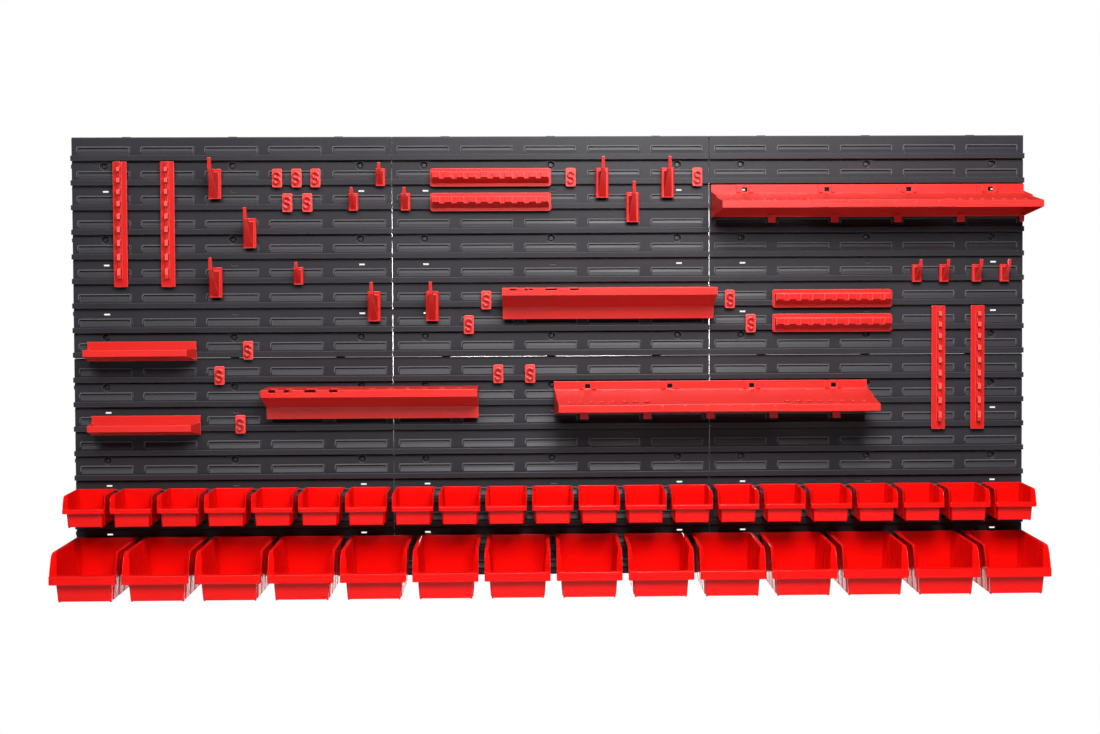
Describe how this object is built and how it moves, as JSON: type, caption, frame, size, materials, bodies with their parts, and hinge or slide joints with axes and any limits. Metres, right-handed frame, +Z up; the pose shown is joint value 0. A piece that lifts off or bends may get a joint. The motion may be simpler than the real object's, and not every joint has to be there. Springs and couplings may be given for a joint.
{
  "type": "pegboard tool wall",
  "caption": "Louvred plastic tool wall of screwed panels, hung with lift-off storage bins, shelves, tool racks, hooks and clips.",
  "frame": {"origin": "middle of the panels' flat back, where the tool wall lies on the building's wall", "axes": "+X along the wall to the right as seen from the front, +Y back into the wall, +Z up"},
  "size_m": [1.7332, 0.2084, 0.811],
  "materials": {
    "panel_plastic": "fine-grained anthracite moulded plastic",
    "bin_plastic": "satin red moulded plastic",
    "holder_plastic": "fine-grained red moulded plastic",
    "screw_steel": "zinc-plated steel"
  },
  "bodies": {
    "wall_panels": {"panel_upper_left": "panel_plastic", "panel_upper_centre": "panel_plastic", "panel_upper_right": "panel_plastic", "panel_lower_left": "panel_plastic", "panel_lower_centre": "panel_plastic", "panel_lower_right": "panel_plastic", "wall_screws": "screw_steel", "large_hooks": "holder_plastic", "small_hooks": "holder_plastic", "tool_clips": "holder_plastic"},
    "small_bin_01": {"small_bin_01": "bin_plastic"},
    "small_bin_02": {"small_bin_02": "bin_plastic"},
    "small_bin_03": {"small_bin_03": "bin_plastic"},
    "small_bin_04": {"small_bin_04": "bin_plastic"},
    "small_bin_05": {"small_bin_05": "bin_plastic"},
    "small_bin_06": {"small_bin_06": "bin_plastic"},
    "small_bin_07": {"small_bin_07": "bin_plastic"},
    "small_bin_08": {"small_bin_08": "bin_plastic"},
    "small_bin_09": {"small_bin_09": "bin_plastic"},
    "small_bin_10": {"small_bin_10": "bin_plastic"},
    "small_bin_11": {"small_bin_11": "bin_plastic"},
    "small_bin_12": {"small_bin_12": "bin_plastic"},
    "small_bin_13": {"small_bin_13": "bin_plastic"},
    "small_bin_14": {"small_bin_14": "bin_plastic"},
    "small_bin_15": {"small_bin_15": "bin_plastic"},
    "small_bin_16": {"small_bin_16": "bin_plastic"},
    "small_bin_17": {"small_bin_17": "bin_plastic"},
    "small_bin_18": {"small_bin_18": "bin_plastic"},
    "small_bin_19": {"small_bin_19": "bin_plastic"},
    "small_bin_20": {"small_bin_20": "bin_plastic"},
    "small_bin_21": {"small_bin_21": "bin_plastic"},
    "large_bin_01": {"large_bin_01": "bin_plastic"},
    "large_bin_02": {"large_bin_02": "bin_plastic"},
    "large_bin_03": {"large_bin_03": "bin_plastic"},
    "large_bin_04": {"large_bin_04": "bin_plastic"},
    "large_bin_05": {"large_bin_05": "bin_plastic"},
    "large_bin_06": {"large_bin_06": "bin_plastic"},
    "large_bin_07": {"large_bin_07": "bin_plastic"},
    "large_bin_08": {"large_bin_08": "bin_plastic"},
    "large_bin_09": {"large_bin_09": "bin_plastic"},
    "large_bin_10": {"large_bin_10": "bin_plastic"},
    "large_bin_11": {"large_bin_11": "bin_plastic"},
    "large_bin_12": {"large_bin_12": "bin_plastic"},
    "large_bin_13": {"large_bin_13": "bin_plastic"},
    "large_bin_14": {"large_bin_14": "bin_plastic"},
    "long_shelf_upper": {"long_shelf_upper": "holder_plastic"},
    "long_shelf_lower": {"long_shelf_lower": "holder_plastic"},
    "box_shelf_upper": {"box_shelf_upper": "holder_plastic"},
    "box_shelf_lower": {"box_shelf_lower": "holder_plastic"},
    "small_shelf_upper": {"small_shelf_upper": "holder_plastic"},
    "small_shelf_lower": {"small_shelf_lower": "holder_plastic"},
    "rack_vertical_left_1": {"rack_vertical_left_1": "holder_plastic"},
    "rack_vertical_left_2": {"rack_vertical_left_2": "holder_plastic"},
    "rack_vertical_right_1": {"rack_vertical_right_1": "holder_plastic"},
    "rack_vertical_right_2": {"rack_vertical_right_2": "holder_plastic"},
    "rack_bar_centre_upper": {"rack_bar_centre_upper": "holder_plastic"},
    "rack_bar_centre_lower": {"rack_bar_centre_lower": "holder_plastic"},
    "rack_bar_right_upper": {"rack_bar_right_upper": "holder_plastic"},
    "rack_bar_right_lower": {"rack_bar_right_lower": "holder_plastic"}
  },
  "joints": [
    {"name": "small_bin_01_lift", "type": "slide", "parent": "wall_panels", "child": "small_bin_01", "axis": [0, 0, 1], "range_m": [0, 0.008]},
    {"name": "small_bin_02_lift", "type": "slide", "parent": "wall_panels", "child": "small_bin_02", "axis": [0, 0, 1], "range_m": [0, 0.008]},
    {"name": "small_bin_03_lift", "type": "slide", "parent": "wall_panels", "child": "small_bin_03", "axis": [0, 0, 1], "range_m": [0, 0.008]},
    {"name": "small_bin_04_lift", "type": "slide", "parent": "wall_panels", "child": "small_bin_04", "axis": [0, 0, 1], "range_m": [0, 0.008]},
    {"name": "small_bin_05_lift", "type": "slide", "parent": "wall_panels", "child": "small_bin_05", "axis": [0, 0, 1], "range_m": [0, 0.008]},
    {"name": "small_bin_06_lift", "type": "slide", "parent": "wall_panels", "child": "small_bin_06", "axis": [0, 0, 1], "range_m": [0, 0.008]},
    {"name": "small_bin_07_lift", "type": "slide", "parent": "wall_panels", "child": "small_bin_07", "axis": [0, 0, 1], "range_m": [0, 0.008]},
    {"name": "small_bin_08_lift", "type": "slide", "parent": "wall_panels", "child": "small_bin_08", "axis": [0, 0, 1], "range_m": [0, 0.008]},
    {"name": "small_bin_09_lift", "type": "slide", "parent": "wall_panels", "child": "small_bin_09", "axis": [0, 0, 1], "range_m": [0, 0.008]},
    {"name": "small_bin_10_lift", "type": "slide", "parent": "wall_panels", "child": "small_bin_10", "axis": [0, 0, 1], "range_m": [0, 0.008]},
    {"name": "small_bin_11_lift", "type": "slide", "parent": "wall_panels", "child": "small_bin_11", "axis": [0, 0, 1], "range_m": [0, 0.008]},
    {"name": "small_bin_12_lift", "type": "slide", "parent": "wall_panels", "child": "small_bin_12", "axis": [0, 0, 1], "range_m": [0, 0.008]},
    {"name": "small_bin_13_lift", "type": "slide", "parent": "wall_panels", "child": "small_bin_13", "axis": [0, 0, 1], "range_m": [0, 0.008]},
    {"name": "small_bin_14_lift", "type": "slide", "parent": "wall_panels", "child": "small_bin_14", "axis": [0, 0, 1], "range_m": [0, 0.008]},
    {"name": "small_bin_15_lift", "type": "slide", "parent": "wall_panels", "child": "small_bin_15", "axis": [0, 0, 1], "range_m": [0, 0.008]},
    {"name": "small_bin_16_lift", "type": "slide", "parent": "wall_panels", "child": "small_bin_16", "axis": [0, 0, 1], "range_m": [0, 0.008]},
    {"name": "small_bin_17_lift", "type": "slide", "parent": "wall_panels", "child": "small_bin_17", "axis": [0, 0, 1], "range_m": [0, 0.008]},
    {"name": "small_bin_18_lift", "type": "slide", "parent": "wall_panels", "child": "small_bin_18", "axis": [0, 0, 1], "range_m": [0, 0.008]},
    {"name": "small_bin_19_lift", "type": "slide", "parent": "wall_panels", "child": "small_bin_19", "axis": [0, 0, 1], "range_m": [0, 0.008]},
    {"name": "small_bin_20_lift", "type": "slide", "parent": "wall_panels", "child": "small_bin_20", "axis": [0, 0, 1], "range_m": [0, 0.008]},
    {"name": "small_bin_21_lift", "type": "slide", "parent": "wall_panels", "child": "small_bin_21", "axis": [0, 0, 1], "range_m": [0, 0.008]},
    {"name": "large_bin_01_lift", "type": "slide", "parent": "wall_panels", "child": "large_bin_01", "axis": [0, 0, 1], "range_m": [0, 0.008]},
    {"name": "large_bin_02_lift", "type": "slide", "parent": "wall_panels", "child": "large_bin_02", "axis": [0, 0, 1], "range_m": [0, 0.008]},
    {"name": "large_bin_03_lift", "type": "slide", "parent": "wall_panels", "child": "large_bin_03", "axis": [0, 0, 1], "range_m": [0, 0.008]},
    {"name": "large_bin_04_lift", "type": "slide", "parent": "wall_panels", "child": "large_bin_04", "axis": [0, 0, 1], "range_m": [0, 0.008]},
    {"name": "large_bin_05_lift", "type": "slide", "parent": "wall_panels", "child": "large_bin_05", "axis": [0, 0, 1], "range_m": [0, 0.008]},
    {"name": "large_bin_06_lift", "type": "slide", "parent": "wall_panels", "child": "large_bin_06", "axis": [0, 0, 1], "range_m": [0, 0.008]},
    {"name": "large_bin_07_lift", "type": "slide", "parent": "wall_panels", "child": "large_bin_07", "axis": [0, 0, 1], "range_m": [0, 0.008]},
    {"name": "large_bin_08_lift", "type": "slide", "parent": "wall_panels", "child": "large_bin_08", "axis": [0, 0, 1], "range_m": [0, 0.008]},
    {"name": "large_bin_09_lift", "type": "slide", "parent": "wall_panels", "child": "large_bin_09", "axis": [0, 0, 1], "range_m": [0, 0.008]},
    {"name": "large_bin_10_lift", "type": "slide", "parent": "wall_panels", "child": "large_bin_10", "axis": [0, 0, 1], "range_m": [0, 0.008]},
    {"name": "large_bin_11_lift", "type": "slide", "parent": "wall_panels", "child": "large_bin_11", "axis": [0, 0, 1], "range_m": [0, 0.008]},
    {"name": "large_bin_12_lift", "type": "slide", "parent": "wall_panels", "child": "large_bin_12", "axis": [0, 0, 1], "range_m": [0, 0.008]},
    {"name": "large_bin_13_lift", "type": "slide", "parent": "wall_panels", "child": "large_bin_13", "axis": [0, 0, 1], "range_m": [0, 0.008]},
    {"name": "large_bin_14_lift", "type": "slide", "parent": "wall_panels", "child": "large_bin_14", "axis": [0, 0, 1], "range_m": [0, 0.008]},
    {"name": "long_shelf_upper_lift", "type": "slide", "parent": "wall_panels", "child": "long_shelf_upper", "axis": [0, 0, 1], "range_m": [0, 0.008]},
    {"name": "long_shelf_lower_lift", "type": "slide", "parent": "wall_panels", "child": "long_shelf_lower", "axis": [0, 0, 1], "range_m": [0, 0.008]},
    {"name": "box_shelf_upper_lift", "type": "slide", "parent": "wall_panels", "child": "box_shelf_upper", "axis": [0, 0, 1], "range_m": [0, 0.008]},
    {"name": "box_shelf_lower_lift", "type": "slide", "parent": "wall_panels", "child": "box_shelf_lower", "axis": [0, 0, 1], "range_m": [0, 0.008]},
    {"name": "small_shelf_upper_lift", "type": "slide", "parent": "wall_panels", "child": "small_shelf_upper", "axis": [0, 0, 1], "range_m": [0, 0.008]},
    {"name": "small_shelf_lower_lift", "type": "slide", "parent": "wall_panels", "child": "small_shelf_lower", "axis": [0, 0, 1], "range_m": [0, 0.008]},
    {"name": "rack_vertical_left_1_lift", "type": "slide", "parent": "wall_panels", "child": "rack_vertical_left_1", "axis": [0, 0, 1], "range_m": [0, 0.008]},
    {"name": "rack_vertical_left_2_lift", "type": "slide", "parent": "wall_panels", "child": "rack_vertical_left_2", "axis": [0, 0, 1], "range_m": [0, 0.008]},
    {"name": "rack_vertical_right_1_lift", "type": "slide", "parent": "wall_panels", "child": "rack_vertical_right_1", "axis": [0, 0, 1], "range_m": [0, 0.008]},
    {"name": "rack_vertical_right_2_lift", "type": "slide", "parent": "wall_panels", "child": "rack_vertical_right_2", "axis": [0, 0, 1], "range_m": [0, 0.008]},
    {"name": "rack_bar_centre_upper_lift", "type": "slide", "parent": "wall_panels", "child": "rack_bar_centre_upper", "axis": [0, 0, 1], "range_m": [0, 0.008]},
    {"name": "rack_bar_centre_lower_lift", "type": "slide", "parent": "wall_panels", "child": "rack_bar_centre_lower", "axis": [0, 0, 1], "range_m": [0, 0.008]},
    {"name": "rack_bar_right_upper_lift", "type": "slide", "parent": "wall_panels", "child": "rack_bar_right_upper", "axis": [0, 0, 1], "range_m": [0, 0.008]},
    {"name": "rack_bar_right_lower_lift", "type": "slide", "parent": "wall_panels", "child": "rack_bar_right_lower", "axis": [0, 0, 1], "range_m": [0, 0.008]}
  ]
}
